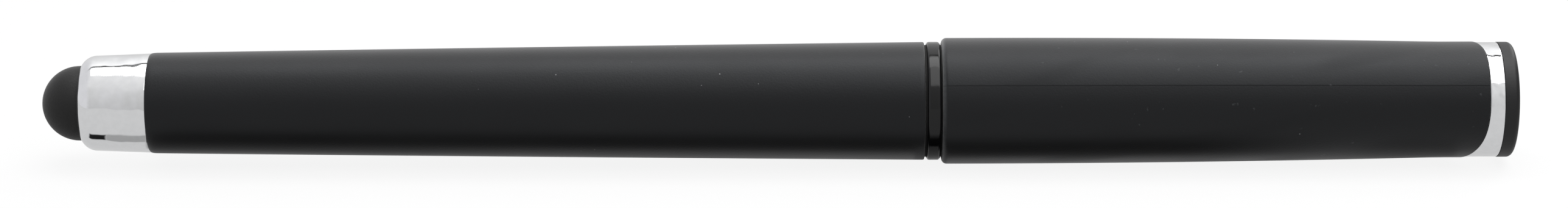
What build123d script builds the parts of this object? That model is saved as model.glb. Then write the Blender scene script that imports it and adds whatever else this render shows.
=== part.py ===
from build123d import *
from math import acos, asin, atan2, cos, degrees, hypot, pi, radians, sin, sqrt
import os

# A capped stylus pen, lying on its side.
# The pen's axis is X, from the apex of the touch dome at x = 0 to the flat end of the cap.
# +Z is up. The pen rests on the cap's mouth and on the edge of the pocket clip, which is at the back.
# Every value is in millimetres.

# Bands that a rounded edge is turned in, and how far a cutting shape reaches past what it cuts
ROUND_BAND_COUNT = 2
CUT_MARGIN = 1.0

# Fits: radial gap of a fixed fit, of a sliding fit, of a thread, and the gap between end faces
PRESS_GAP = 0.02
SLIDE_GAP = 0.05
THREAD_GAP = 0.05
END_GAP = 0.03

# Touch dome
DOME_DIAMETER = 7.1
DOME_WALL = 0.9
DOME_REACH = 3.74
DOME_FLANGE_RISE = 0.4
DOME_FLANGE_THICKNESS = 0.8
DOME_BAND_COUNT = 5

# Ferrule and the post that joins it to the barrel
FERRULE_LENGTH = 6.67
FERRULE_WALL = 0.55
FERRULE_TAPER = 0.19
FERRULE_NOSE_LENGTH = 1.85
FERRULE_LIP = 0.85
POST_REACH = 4.5
POST_BOSS = 0.3
SPRING_POCKET_DEPTH = 5.0
SPRING_POCKET_GAP = 0.2

# Refill spring
SPRING_DIAMETER = 4.8
SPRING_WIRE = 0.4
SPRING_LENGTH = 6.1
SPRING_TURN_COUNT = 3
SPRING_SIDE_COUNT = 4

# Barrel
BARREL_LENGTH = 73.63
BARREL_STEP = 0.08
BARREL_EDGE = 0.35
BARREL_BULGE = 0.035
BARREL_MOUTH_WALL = 1.355
BARREL_PIECE_COUNT = 4
BARREL_RUN_OUT = 0.6

# Refill
REFILL_DIAMETER = 6.1
REFILL_WALL = 0.5
REFILL_ROOM = 0.15
TAIL_FLANGE = 1.2
TAIL_STUB = 3.0
FOLLOWER_LENGTH = 6.0
INK_GAP = 2.0
CONNECTOR_LENGTH = 8.0
CONNECTOR_STUB = 5.0
CONNECTOR_NECK_DIAMETER = 4.4
CONNECTOR_NECK_LENGTH = 9.0
POINT_DIAMETER = 2.3
POINT_SOCKET = 5.0
POINT_CONE_LENGTH = 2.2
POINT_REACH = 2.5
POINT_FEED_DIAMETER = 0.5
BALL_DIAMETER = 0.7
BALL_SHOWN = 0.22
BALL_GAP = 0.02
BALL_SEAT_LENGTH = 0.4
BALL_RIM_WALL = 0.1

# Grip section and nose cone
SHANK_WALL = 1.0
SHANK_LENGTH = 8.5
COLLAR_RISE = 0.7
COLLAR_LENGTH = 4.2
BEAD_RISE = 0.06
GRIP_STEP = 0.35
GRIP_TAPER = 0.5
GRIP_BULGE = 0.05
SECTION_LENGTH = 28.35
NOSE_LENGTH = 10.0
NOSE_TIP_WALL = 0.5
NOSE_HOLE_ROOM = 0.15
NOSE_SPIGOT = 5.0
NOSE_SPIGOT_STEP = 0.38

# Centre ring
RING_WIDTH = 1.31
RING_EDGE = 0.25
RING_PROUD = 0.015
FRONT_GROOVE = 0.2
REAR_GROOVE = 0.1
GROOVE_DEPTH = 0.3

# Cap sleeve and inner cap
CAP_WALL = 0.975
CAP_MOUTH_EDGE = 0.5
CAP_STRAIGHT = 3.3
CAP_TAPER = 0.475
CAP_END_STRAIGHT = 0.6
CAP_PIECE_COUNT = 3
CAP_NECK_LENGTH = 6.07
CAP_NECK_WALL = 0.72
TIP_ROOM = 5.1
INNER_CAP_WALL = 0.45
INNER_CAP_ROOM = 0.15
INNER_CAP_END = 0.9
INNER_CAP_LENGTH = 23.0

# Crown and pocket clip, one piece
CROWN_WALL = 0.5
CROWN_SETBACK = 0.065
CROWN_FLANGE = 0.6
CROWN_FRONT = 1.375
CROWN_SIDE = 2.92
CROWN_BACK = 5.3
CROWN_EDGE_GAP = 0.05
CLIP_LENGTH = 36.0
CLIP_WIDTH = 4.4
CLIP_TIP_WIDTH = 3.4
CLIP_THICKNESS = 1.0
CLIP_RISE = 3.05
CLIP_CROWN_RADIUS = 7.0
CLIP_ROOT = 4.6
CLIP_TIP_BEND = 3.6
CLIP_TOUCH_GAP = 0.1

# End plug
PLUG_LENGTH = 1.4
PLUG_EDGE = 0.5
PLUG_PROUD = 0.03

# Radii, from the dome outwards and from the refill outwards
dome_radius = DOME_DIAMETER / 2
flange_radius = dome_radius + DOME_FLANGE_RISE
chamber_radius = flange_radius + PRESS_GAP
post_radius = chamber_radius - PRESS_GAP
ferrule_front_radius = chamber_radius + FERRULE_WALL
ferrule_back_radius = ferrule_front_radius + FERRULE_TAPER
barrel_front_radius = ferrule_back_radius + BARREL_STEP
refill_radius = REFILL_DIAMETER / 2
tube_bore_radius = refill_radius - REFILL_WALL
section_bore_radius = refill_radius + REFILL_ROOM
shank_radius = section_bore_radius + SHANK_WALL
thread_bore_radius = shank_radius + THREAD_GAP
barrel_mouth_radius = thread_bore_radius + BARREL_MOUTH_WALL
ring_radius = barrel_mouth_radius + RING_PROUD
hub_radius = ring_radius - GROOVE_DEPTH
collar_radius = shank_radius + COLLAR_RISE
grip_radius = shank_radius + GRIP_STEP
grip_front_radius = grip_radius - GRIP_TAPER
spigot_radius = section_bore_radius + NOSE_SPIGOT_STEP
neck_radius = CONNECTOR_NECK_DIAMETER / 2
point_radius = POINT_DIAMETER / 2
nose_hole_radius = point_radius + NOSE_HOLE_ROOM
ball_radius = BALL_DIAMETER / 2
cap_bore_radius = collar_radius + BEAD_RISE + SLIDE_GAP
cap_radius = cap_bore_radius + CAP_WALL
cap_end_radius = cap_radius - CAP_TAPER
crown_radius = cap_end_radius - CROWN_SETBACK
crown_bore_radius = crown_radius - CROWN_WALL
cap_neck_radius = crown_bore_radius - PRESS_GAP
neck_bore_radius = cap_neck_radius - CAP_NECK_WALL
stem_radius = neck_bore_radius - PRESS_GAP
plug_radius = crown_radius + PLUG_PROUD

# Stations along the axis, from the dome's apex
lip_x = DOME_REACH
chamber_x = lip_x + FERRULE_LIP
flange_back_x = chamber_x + DOME_FLANGE_THICKNESS
joint_x = lip_x + FERRULE_LENGTH
post_end_x = joint_x + POST_REACH
pocket_x = post_end_x - SPRING_POCKET_DEPTH
tail_x = pocket_x + SPRING_LENGTH
mouth_x = joint_x + BARREL_LENGTH
shank_x = mouth_x - SHANK_LENGTH
thread_x = shank_x - BARREL_RUN_OUT
ring_x = mouth_x + FRONT_GROOVE
collar_x = ring_x + RING_WIDTH + REAR_GROOVE
cap_x = collar_x + END_GAP
section_end_x = collar_x + SECTION_LENGTH
spigot_x = section_end_x - NOSE_SPIGOT
nose_x = section_end_x + NOSE_LENGTH
tip_x = nose_x + POINT_REACH
shoulder_x = spigot_x - END_GAP
tube_end_x = shoulder_x - CONNECTOR_LENGTH
tube_start_x = tail_x + TAIL_FLANGE
neck_end_x = shoulder_x + CONNECTOR_NECK_LENGTH
floor_x = tip_x + TIP_ROOM
liner_end_x = floor_x + INNER_CAP_END
liner_x = liner_end_x - INNER_CAP_LENGTH
cap_neck_x = liner_end_x + END_GAP
plug_x = cap_neck_x + CAP_NECK_LENGTH
end_x = plug_x + PLUG_LENGTH
collar_end_x = collar_x + COLLAR_LENGTH
grip_start_x = collar_end_x + COLLAR_RISE - GRIP_STEP
swell_x = cap_x + CAP_STRAIGHT
swell_end_x = plug_x - CROWN_BACK - CAP_END_STRAIGHT
clip_tip_x = plug_x - CLIP_LENGTH
clip_root_x = plug_x - CLIP_ROOT

# The inner cap goes over the grip's front with a little room, and the sleeve's bore takes it
liner_share = (liner_x - grip_start_x) / (section_end_x - grip_start_x)
liner_inner_radius = grip_radius - GRIP_TAPER * liner_share + INNER_CAP_ROOM
liner_radius = liner_inner_radius + INNER_CAP_WALL
liner_bore_radius = liner_radius + PRESS_GAP

# The pen rolls until the clip's edge meets the surface that the cap's mouth rests on
clip_top = crown_radius + CLIP_RISE
clip_edge_drop = CLIP_CROWN_RADIUS - sqrt(CLIP_CROWN_RADIUS**2 - (CLIP_WIDTH / 2) ** 2)
clip_edge_height = clip_top - clip_edge_drop
clip_edge_reach = hypot(clip_edge_height, CLIP_WIDTH / 2)
clip_from_down = atan2(CLIP_WIDTH / 2, clip_edge_height) + acos(cap_radius / clip_edge_reach)
clip_dip = pi / 2 - clip_from_down

# Planes of the clip: its side view, its plan view, and its cross-section at a station
clip_out = Vector(0, cos(clip_dip), -sin(clip_dip))
clip_across = Vector(0, sin(clip_dip), cos(clip_dip))
clip_side_plane = Plane((0, 0, 0), x_dir=(1, 0, 0), z_dir=clip_across)
clip_plan_plane = Plane((0, 0, 0), x_dir=(1, 0, 0), z_dir=clip_out)
clip_cross_plane = Plane((clip_tip_x - CUT_MARGIN, 0, 0), x_dir=-clip_across, z_dir=(1, 0, 0))


def arc_points(centre, radius, start_angle, end_angle, bands):
    """Points along an arc of a profile, one at the end of each band; angles are in degrees."""
    angles = [start_angle + (end_angle - start_angle) * k / bands for k in range(bands + 1)]
    return [(centre[0] + radius * cos(radians(a)), centre[1] + radius * sin(radians(a))) for a in angles]


def swell(start, end, bulge, pieces):
    """Draw a taper that swells gently in its middle, as a run of short straight pieces."""
    for k in range(pieces):
        shares = (k / pieces, (k + 1) / pieces)
        xs = [start[0] + (end[0] - start[0]) * s for s in shares]
        rs = [start[1] + (end[1] - start[1]) * s + 4 * bulge * s * (1 - s) for s in shares]
        Bezier((xs[0], rs[0]), (sum(xs) / 2, sum(rs) / 2), (xs[1], rs[1]))


def cap_outside(x):
    """Outer radius of the cap sleeve at a station."""
    share = min(max((x - swell_x) / (swell_end_x - swell_x), 0), 1)
    return cap_radius - CAP_TAPER * share**2


def crown_region(gap):
    """Side view of everything behind the crown's swept front edge, moved back by a gap."""
    front_x = plug_x - CROWN_FRONT + gap
    front = (front_x, -0.9 * crown_radius)
    side = (plug_x - CROWN_SIDE + gap, 0)
    back = (plug_x - CROWN_BACK + gap, crown_radius)
    reach = 2 * crown_radius
    with BuildSketch(clip_side_plane) as region:
        with BuildLine():
            Spline(front, side, back, tangents=((-0.1, 1), (-0.45, 1)))
            Polyline(back, (back[0], reach), (end_x, reach), (end_x, -reach), (front_x, -reach), front)
        make_face()
    return region.sketch


os.makedirs("parts", exist_ok=True)

# Hollow rubber dome, open at the back, with the flange that the ferrule's lip holds
with BuildPart() as stylus_dome:
    with BuildSketch(Plane.XZ):
        with BuildLine():
            hollow_radius = dome_radius - DOME_WALL
            dome_centre = (dome_radius, 0)
            Polyline(
                *arc_points(dome_centre, dome_radius, 180, 90, DOME_BAND_COUNT),
                (chamber_x, dome_radius),
                (chamber_x, flange_radius),
                (flange_back_x, flange_radius),
                (flange_back_x, hollow_radius),
                *arc_points(dome_centre, hollow_radius, 90, 180, ROUND_BAND_COUNT),
                close=True,
            )
        make_face()
    revolve(axis=Axis.X)
stylus_dome.part.label = "stylus_dome"
export_step(stylus_dome.part, "parts/stylus_dome.step")

# Bright ferrule: a tapered sleeve with a rounded nose that ends in the lip round the dome
with BuildPart() as stylus_ferrule:
    with BuildSketch(Plane.XZ):
        with BuildLine():
            lip_radius = dome_radius + PRESS_GAP
            nose_end_x = lip_x + FERRULE_NOSE_LENGTH
            nose_drop = ferrule_front_radius - lip_radius
            nose_round = (FERRULE_NOSE_LENGTH**2 + nose_drop**2) / (2 * nose_drop)
            nose_sweep = degrees(asin(FERRULE_NOSE_LENGTH / nose_round))
            nose_centre = (nose_end_x, ferrule_front_radius - nose_round)
            Polyline(
                *arc_points(nose_centre, nose_round, 90, 90 + nose_sweep, ROUND_BAND_COUNT),
                (chamber_x, lip_radius),
                (chamber_x, chamber_radius),
                (joint_x, chamber_radius),
                (joint_x, ferrule_back_radius),
            )
            swell((nose_end_x, ferrule_front_radius), (joint_x, ferrule_back_radius), 0, 1)
        make_face()
    revolve(axis=Axis.X)
stylus_ferrule.part.label = "stylus_ferrule"
export_step(stylus_ferrule.part, "parts/stylus_ferrule.step")

# Post that joins ferrule and barrel, with a boss inside the dome and a pocket for the spring
with BuildPart() as stylus_post:
    with BuildSketch(Plane.XZ):
        with BuildLine():
            boss_radius = hollow_radius - SLIDE_GAP
            pocket_radius = SPRING_DIAMETER / 2 + SPRING_POCKET_GAP
            Polyline(
                (chamber_x - POST_BOSS, 0),
                (chamber_x - POST_BOSS, boss_radius),
                (flange_back_x, boss_radius),
                (flange_back_x, post_radius),
                (post_end_x, post_radius),
                (post_end_x, pocket_radius),
                (pocket_x, pocket_radius),
                (pocket_x, 0),
                close=True,
            )
        make_face()
    revolve(axis=Axis.X)
stylus_post.part.label = "stylus_post"
export_step(stylus_post.part, "parts/stylus_post.step")

# Coil spring between the post and the refill's tail
with BuildPart() as refill_spring:
    coil_radius = (SPRING_DIAMETER - SPRING_WIRE) / 2
    coil_start = pocket_x + END_GAP + SPRING_WIRE / 2
    coil_length = SPRING_LENGTH - 2 * END_GAP - SPRING_WIRE
    coil_pitch = coil_length / SPRING_TURN_COUNT
    with BuildLine() as coil:
        Helix(coil_pitch, coil_length, coil_radius, center=(coil_start, 0, 0), direction=(1, 0, 0))
    with BuildSketch(Plane(coil.line @ 0, z_dir=coil.line % 0)):
        RegularPolygon(SPRING_WIRE / 2, SPRING_SIDE_COUNT)
    sweep(path=coil.line, is_frenet=True)
refill_spring.part.label = "refill_spring"
export_step(refill_spring.part, "parts/refill_spring.step")

# Barrel: a tapered tube, seated on the post at one end and threaded for the section at the other
with BuildPart() as barrel:
    with BuildSketch(Plane.XZ):
        with BuildLine():
            bore_radius = post_radius + PRESS_GAP
            edge_centre = (joint_x + BARREL_EDGE, barrel_front_radius - BARREL_EDGE)
            mouth = (mouth_x, barrel_mouth_radius)
            Polyline(
                mouth,
                (mouth_x, thread_bore_radius),
                (thread_x, thread_bore_radius),
                (thread_x, bore_radius),
                (joint_x, bore_radius),
                *arc_points(edge_centre, BARREL_EDGE, 180, 90, ROUND_BAND_COUNT),
            )
            swell((edge_centre[0], barrel_front_radius), mouth, BARREL_BULGE, BARREL_PIECE_COUNT)
        make_face()
    revolve(axis=Axis.X)
barrel.part.label = "barrel"
export_step(barrel.part, "parts/barrel.step")

# Plug in the refill's tail
with BuildPart() as refill_tail_plug:
    with BuildSketch(Plane.XZ):
        with BuildLine():
            stub_radius = tube_bore_radius - PRESS_GAP
            Polyline(
                (tail_x, 0),
                (tail_x, refill_radius),
                (tube_start_x, refill_radius),
                (tube_start_x, stub_radius),
                (tube_start_x + TAIL_STUB, stub_radius),
                (tube_start_x + TAIL_STUB, 0),
                close=True,
            )
        make_face()
    revolve(axis=Axis.X)
refill_tail_plug.part.label = "refill_tail_plug"
export_step(refill_tail_plug.part, "parts/refill_tail_plug.step")

# Refill tube
with BuildPart() as refill_tube:
    with BuildSketch(Plane.YZ.offset(tube_start_x)):
        Circle(refill_radius)
        Circle(tube_bore_radius, mode=Mode.SUBTRACT)
    extrude(amount=tube_end_x - tube_start_x)
refill_tube.part.label = "refill_tube"
export_step(refill_tube.part, "parts/refill_tube.step")

# Grease plug that follows the ink
follower_x = tube_start_x + TAIL_STUB + INK_GAP
ink_x = follower_x + FOLLOWER_LENGTH
ink_end_x = tube_end_x - CONNECTOR_STUB
with BuildPart() as ink_follower:
    with BuildSketch(Plane.YZ.offset(follower_x)):
        Circle(tube_bore_radius - PRESS_GAP)
    extrude(amount=FOLLOWER_LENGTH)
ink_follower.part.label = "ink_follower"
export_step(ink_follower.part, "parts/ink_follower.step")

# Ink, from the grease to the connector
with BuildPart() as ink_column:
    with BuildSketch(Plane.YZ.offset(ink_x)):
        Circle(tube_bore_radius - PRESS_GAP)
    extrude(amount=ink_end_x - ink_x)
ink_column.part.label = "ink_column"
export_step(ink_column.part, "parts/ink_column.step")

# Connector between tube and point, with the shoulder that stops on the nose cone
with BuildPart() as refill_connector:
    with BuildSketch(Plane.XZ):
        with BuildLine():
            socket_radius = point_radius + PRESS_GAP
            socket_x = neck_end_x - POINT_SOCKET
            Polyline(
                (ink_end_x, socket_radius),
                (ink_end_x, stub_radius),
                (tube_end_x, stub_radius),
                (tube_end_x, refill_radius),
                (shoulder_x, refill_radius),
                (shoulder_x, neck_radius),
                (neck_end_x, neck_radius),
                (neck_end_x, socket_radius),
                close=True,
            )
        make_face()
    revolve(axis=Axis.X)
refill_connector.part.label = "refill_connector"
export_step(refill_connector.part, "parts/refill_connector.step")

# Metal point: a needle with a cone, an ink channel, and a seat whose rim is crimped over the ball
ball_x = tip_x - ball_radius
rim_x = tip_x - BALL_SHOWN
with BuildPart() as refill_point:
    with BuildSketch(Plane.XZ):
        with BuildLine():
            channel_radius = POINT_FEED_DIAMETER / 2
            seat_radius = ball_radius + BALL_GAP
            rim_bore_radius = sqrt(seat_radius**2 - (rim_x - ball_x) ** 2)
            Polyline(
                (socket_x, channel_radius),
                (socket_x, point_radius),
                (rim_x - POINT_CONE_LENGTH, point_radius),
                (rim_x, rim_bore_radius + BALL_RIM_WALL),
                (rim_x, rim_bore_radius),
                (ball_x, seat_radius),
                (ball_x - ball_radius / 4, seat_radius),
                (ball_x - BALL_SEAT_LENGTH, channel_radius),
                close=True,
            )
        make_face()
    revolve(axis=Axis.X)
refill_point.part.label = "refill_point"
export_step(refill_point.part, "parts/refill_point.step")

# Writing ball
with BuildPart() as writing_ball:
    with Locations((ball_x, 0, 0)):
        Sphere(ball_radius)
writing_ball.part.label = "writing_ball"
export_step(writing_ball.part, "parts/writing_ball.step")

# Grip section: threaded shank, collar with the bead that holds the cap, and tapered grip
with BuildPart() as grip_section:
    with BuildSketch(Plane.XZ):
        with BuildLine():
            grip_start = (grip_start_x, grip_radius)
            grip_end = (section_end_x, grip_front_radius)
            front_socket_radius = spigot_radius + PRESS_GAP
            swell(grip_start, grip_end, GRIP_BULGE, 2)
            swell((collar_x, collar_radius), (collar_end_x, collar_radius), BEAD_RISE, 2)
            Line((collar_end_x, collar_radius), grip_start)
            Polyline(
                grip_end,
                (section_end_x, front_socket_radius),
                (spigot_x, front_socket_radius),
                (spigot_x, section_bore_radius),
                (shank_x, section_bore_radius),
                (shank_x, shank_radius),
                (collar_x, shank_radius),
                (collar_x, collar_radius),
            )
        make_face()
    revolve(axis=Axis.X)
grip_section.part.label = "grip_section"
export_step(grip_section.part, "parts/grip_section.step")

# Nose cone: plain cone with a spigot in the section and a hole for the point
with BuildPart() as nose_cone:
    with BuildSketch(Plane.XZ):
        with BuildLine():
            nose_tip_radius = nose_hole_radius + NOSE_TIP_WALL
            neck_room_radius = neck_radius + REFILL_ROOM
            neck_room_x = neck_end_x + END_GAP
            Polyline(
                (section_end_x, grip_front_radius),
                (nose_x, nose_tip_radius),
                (nose_x, nose_hole_radius),
                (neck_room_x, nose_hole_radius),
                (neck_room_x, neck_room_radius),
                (spigot_x, neck_room_radius),
                (spigot_x, spigot_radius),
                (section_end_x, spigot_radius),
                close=True,
            )
        make_face()
    revolve(axis=Axis.X)
nose_cone.part.label = "nose_cone"
export_step(nose_cone.part, "parts/nose_cone.step")

# Centre ring: a rounded band on a narrower hub, so that a groove shows on each side
with BuildPart() as centre_ring:
    with BuildSketch(Plane.XZ):
        with BuildLine():
            ring_end_x = ring_x + RING_WIDTH
            hub_x = mouth_x + END_GAP
            ring_bore_radius = shank_radius + PRESS_GAP
            edge_height = ring_radius - RING_EDGE
            Polyline(
                (hub_x, ring_bore_radius),
                (hub_x, hub_radius),
                (ring_x, hub_radius),
                *arc_points((ring_x + RING_EDGE, edge_height), RING_EDGE, 180, 90, ROUND_BAND_COUNT),
                *arc_points((ring_end_x - RING_EDGE, edge_height), RING_EDGE, 90, 0, ROUND_BAND_COUNT),
                (ring_end_x, hub_radius),
                (collar_x, hub_radius),
                (collar_x, ring_bore_radius),
                close=True,
            )
        make_face()
    revolve(axis=Axis.X)
centre_ring.part.label = "centre_ring"
export_step(centre_ring.part, "parts/centre_ring.step")

# Seat of the crown: the part of the sleeve's skin that is cut away behind the swept edge
with BuildPart() as crown_seat:
    with BuildSketch(Plane.YZ.offset(cap_neck_x)):
        Circle(2 * cap_radius)
        Circle(cap_neck_radius, mode=Mode.SUBTRACT)
    extrude(amount=end_x - cap_neck_x)
    extrude(crown_region(0), amount=2 * cap_radius, both=True, mode=Mode.INTERSECT)

# Cap sleeve: swelling to a rounded mouth, tapered bore, and a neck for crown and plug
with BuildPart() as cap_sleeve:
    with BuildSketch(Plane.XZ):
        with BuildLine():
            edge_centre = (cap_x + CAP_MOUTH_EDGE, cap_radius - CAP_MOUTH_EDGE)
            swell_start = (swell_x, cap_radius)
            swell_end = (swell_end_x, cap_end_radius)
            neck_stop_x = plug_x - CROWN_FLANGE - END_GAP
            swell(swell_start, swell_end, CAP_TAPER / 4, CAP_PIECE_COUNT)
            Polyline(
                swell_end,
                (plug_x - CROWN_FRONT, cap_end_radius),
                (plug_x - CROWN_FRONT, cap_neck_radius),
                (neck_stop_x, cap_neck_radius),
                (neck_stop_x, neck_bore_radius),
                (cap_neck_x, neck_bore_radius),
                (cap_neck_x, liner_bore_radius),
                (liner_x - END_GAP, liner_bore_radius),
                (liner_x - END_GAP, cap_bore_radius),
                (cap_x, cap_bore_radius),
                *arc_points(edge_centre, CAP_MOUTH_EDGE, 180, 90, ROUND_BAND_COUNT),
                swell_start,
            )
        make_face()
    revolve(axis=Axis.X)
    add(crown_seat.part, mode=Mode.SUBTRACT)
cap_sleeve.part.label = "cap_sleeve"
export_step(cap_sleeve.part, "parts/cap_sleeve.step")

# Inner cap: a thin liner with a closed end, seated against the sleeve's neck
with BuildPart() as inner_cap:
    with BuildSketch(Plane.XZ):
        with BuildLine():
            Polyline(
                (liner_x, liner_radius),
                (liner_end_x, liner_radius),
                (liner_end_x, 0),
                (floor_x, 0),
                (floor_x, liner_inner_radius),
                (liner_x, liner_inner_radius),
                close=True,
            )
        make_face()
    revolve(axis=Axis.X)
inner_cap.part.label = "inner_cap"
export_step(inner_cap.part, "parts/inner_cap.step")

# Crown: a collar round the cap's neck, with the swept front edge and a flange under the plug
with BuildPart() as crown:
    with BuildSketch(Plane.XZ):
        with BuildLine():
            crown_end_x = plug_x - END_GAP
            crown_start_x = plug_x - CROWN_BACK - CUT_MARGIN
            flange_x = plug_x - CROWN_FLANGE
            Polyline(
                (crown_start_x, crown_bore_radius),
                (crown_start_x, crown_radius),
                (crown_end_x, crown_radius),
                (crown_end_x, neck_bore_radius),
                (flange_x, neck_bore_radius),
                (flange_x, crown_bore_radius),
                close=True,
            )
        make_face()
    revolve(axis=Axis.X)
    extrude(crown_region(CROWN_EDGE_GAP), amount=2 * cap_radius, both=True, mode=Mode.INTERSECT)

# Pocket clip: a sprung arm with a turned-in tip, in one piece with the crown
with BuildPart() as clip:
    arm_inner = clip_top - CLIP_THICKNESS
    arm_foot = (plug_x - CROWN_FLANGE, crown_bore_radius - CLIP_THICKNESS)
    shoulder_rise = CLIP_RISE + CROWN_WALL
    shoulder_start = (arm_foot[0], clip_top - shoulder_rise)
    shoulder_end = (arm_foot[0] - shoulder_rise, clip_top)
    throat_radius = arm_inner - crown_radius
    touch_x = clip_tip_x + CLIP_TIP_BEND / 2
    touch_height = cap_outside(touch_x) + CLIP_TOUCH_GAP
    tip_mid = (touch_height + CLIP_THICKNESS / 2 + arm_inner) / 2
    with BuildSketch(clip_side_plane):
        with BuildLine():
            Line(arm_foot, shoulder_start)
            TangentArc(shoulder_start, shoulder_end, tangent=(0, 1))
            Line(shoulder_end, (clip_tip_x + CLIP_TIP_BEND, clip_top))
            TangentArc((clip_tip_x + CLIP_TIP_BEND, clip_top), (clip_tip_x, tip_mid), tangent=(-1, 0))
            ThreePointArc(
                (clip_tip_x, tip_mid),
                (touch_x, touch_height),
                (clip_tip_x + CLIP_TIP_BEND, arm_inner),
            )
            Line((clip_tip_x + CLIP_TIP_BEND, arm_inner), (clip_root_x - throat_radius, arm_inner))
            TangentArc(
                (clip_root_x - throat_radius, arm_inner),
                (clip_root_x, arm_inner - throat_radius),
                tangent=(1, 0),
            )
            Polyline((clip_root_x, arm_inner - throat_radius), (clip_root_x, arm_foot[1]), arm_foot)
        make_face()
    extrude(amount=CLIP_WIDTH / 2, both=True)
    with BuildSketch(clip_plan_plane):
        with BuildLine():
            half_root = CLIP_WIDTH / 2
            half_tip = CLIP_TIP_WIDTH / 2
            taper_start_x = clip_root_x - throat_radius
            Polyline(
                (clip_tip_x + half_tip, half_tip),
                (taper_start_x, half_root),
                (end_x, half_root),
                (end_x, -half_root),
                (taper_start_x, -half_root),
                (clip_tip_x + half_tip, -half_tip),
            )
            ThreePointArc(
                (clip_tip_x + half_tip, -half_tip),
                (clip_tip_x, 0),
                (clip_tip_x + half_tip, half_tip),
            )
        make_face()
    extrude(amount=2 * clip_top, mode=Mode.INTERSECT)
    with BuildSketch(clip_cross_plane):
        with Locations((0, clip_top - CLIP_CROWN_RADIUS)):
            Circle(CLIP_CROWN_RADIUS)
    clip_reach = CLIP_LENGTH + PLUG_LENGTH + CUT_MARGIN
    extrude(amount=clip_reach, mode=Mode.INTERSECT)
    with BuildSketch(Plane.YZ.offset(clip_tip_x - CUT_MARGIN)):
        Circle(crown_bore_radius)
    extrude(amount=clip_reach, mode=Mode.SUBTRACT)
    add(crown.part)
clip.part.label = "clip"
export_step(clip.part, "parts/clip.step")

# End plug: a flat button with a rounded edge and a stem in the sleeve's neck
with BuildPart() as cap_end_plug:
    with BuildSketch(Plane.XZ):
        with BuildLine():
            stem_x = cap_neck_x + END_GAP
            edge_centre = (end_x - PLUG_EDGE, plug_radius - PLUG_EDGE)
            Polyline(
                (stem_x, 0),
                (stem_x, stem_radius),
                (plug_x, stem_radius),
                (plug_x, plug_radius),
                *arc_points(edge_centre, PLUG_EDGE, 90, 0, ROUND_BAND_COUNT),
                (end_x, 0),
                close=True,
            )
        make_face()
    revolve(axis=Axis.X)
cap_end_plug.part.label = "cap_end_plug"
export_step(cap_end_plug.part, "parts/cap_end_plug.step")
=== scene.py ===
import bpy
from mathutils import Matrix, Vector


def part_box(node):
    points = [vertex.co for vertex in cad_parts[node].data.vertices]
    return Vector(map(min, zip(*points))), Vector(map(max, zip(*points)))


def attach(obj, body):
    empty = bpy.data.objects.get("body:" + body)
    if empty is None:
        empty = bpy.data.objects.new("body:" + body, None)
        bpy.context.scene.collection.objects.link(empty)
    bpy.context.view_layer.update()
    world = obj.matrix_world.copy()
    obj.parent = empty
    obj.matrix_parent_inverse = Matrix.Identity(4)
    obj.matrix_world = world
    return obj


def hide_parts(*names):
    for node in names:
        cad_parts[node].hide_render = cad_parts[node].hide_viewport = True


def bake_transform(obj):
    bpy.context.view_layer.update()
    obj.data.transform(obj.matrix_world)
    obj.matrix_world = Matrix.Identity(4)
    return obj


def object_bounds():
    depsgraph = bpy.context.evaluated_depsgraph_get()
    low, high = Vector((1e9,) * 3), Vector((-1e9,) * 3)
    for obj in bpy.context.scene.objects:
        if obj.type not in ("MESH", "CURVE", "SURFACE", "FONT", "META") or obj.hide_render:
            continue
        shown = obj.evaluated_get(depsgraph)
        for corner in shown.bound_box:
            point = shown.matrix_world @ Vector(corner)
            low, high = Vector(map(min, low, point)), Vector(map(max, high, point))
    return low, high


bl_info = {
    "name": "Capped Stylus Pen",
    "version": (1, 0, 0),
    "blender": (4, 5, 0),
    "location": "View3D > Sidebar > Stylus Pen",
    "description": "Turns and finishes the pieces of a capped stylus pen and sets its studio",
    "category": "Object",
}

from math import acos, asin, cos, hypot, pi, radians, sin, sqrt, tan

import bmesh
import bpy
from bpy.props import FloatProperty, FloatVectorProperty, IntProperty, PointerProperty
from mathutils import Matrix, Vector

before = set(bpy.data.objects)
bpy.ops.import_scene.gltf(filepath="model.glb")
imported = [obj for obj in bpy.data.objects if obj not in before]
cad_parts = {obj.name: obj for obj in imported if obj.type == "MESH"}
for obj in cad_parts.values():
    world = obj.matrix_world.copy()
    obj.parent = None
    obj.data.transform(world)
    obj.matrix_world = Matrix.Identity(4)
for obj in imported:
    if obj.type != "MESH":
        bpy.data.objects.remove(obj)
cad_low, cad_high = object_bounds()

MM = 0.001

# Columns round a turned piece, and the angles in degrees past which edges stay sharp
SIDES = 160
CREASE = 32
COIL_CREASE = 50

# Nearer than these, in metres, points are one and a radius is nothing
SAME_POINT = 1e-8
NO_RADIUS = 1e-7

# Play between pieces that sit in one another, and behind the end plug and the liner
FIT = 0.02 * MM
PLUG_GAP = 0.03 * MM

# Depth of the end plug's seat in the crown
PLUG_SEAT = 0.6 * MM

# Light tent: brightness at angles round the pen, in degrees from the level front over the top
TENT = (
    (0, 0.585), (16, 0.62), (42, 0.73), (57, 0.85), (76, 0.96), (112, 0.98),
    (112.5, 0.07), (118.2, 0.07),
    (119, 1.35), (129, 1.22), (141, 1.05), (158, 0.86), (180, 0.70),
)

# Ends of the tent: slopes along the pen at which each sets in and is full, and the tone of the cap's end
DOME_END = (-0.15, -0.55)
CAP_END = (0.4, 0.85)
CAP_END_TONE = 0.4

# Card before the cap: slopes along the pen, elevations in degrees, and how much brighter than the tent it is
CARD_SLOPES = (0.06, 0.2)
CARD_ELEVATIONS = (45, 75)
CARD_GAIN = 0.2

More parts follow.
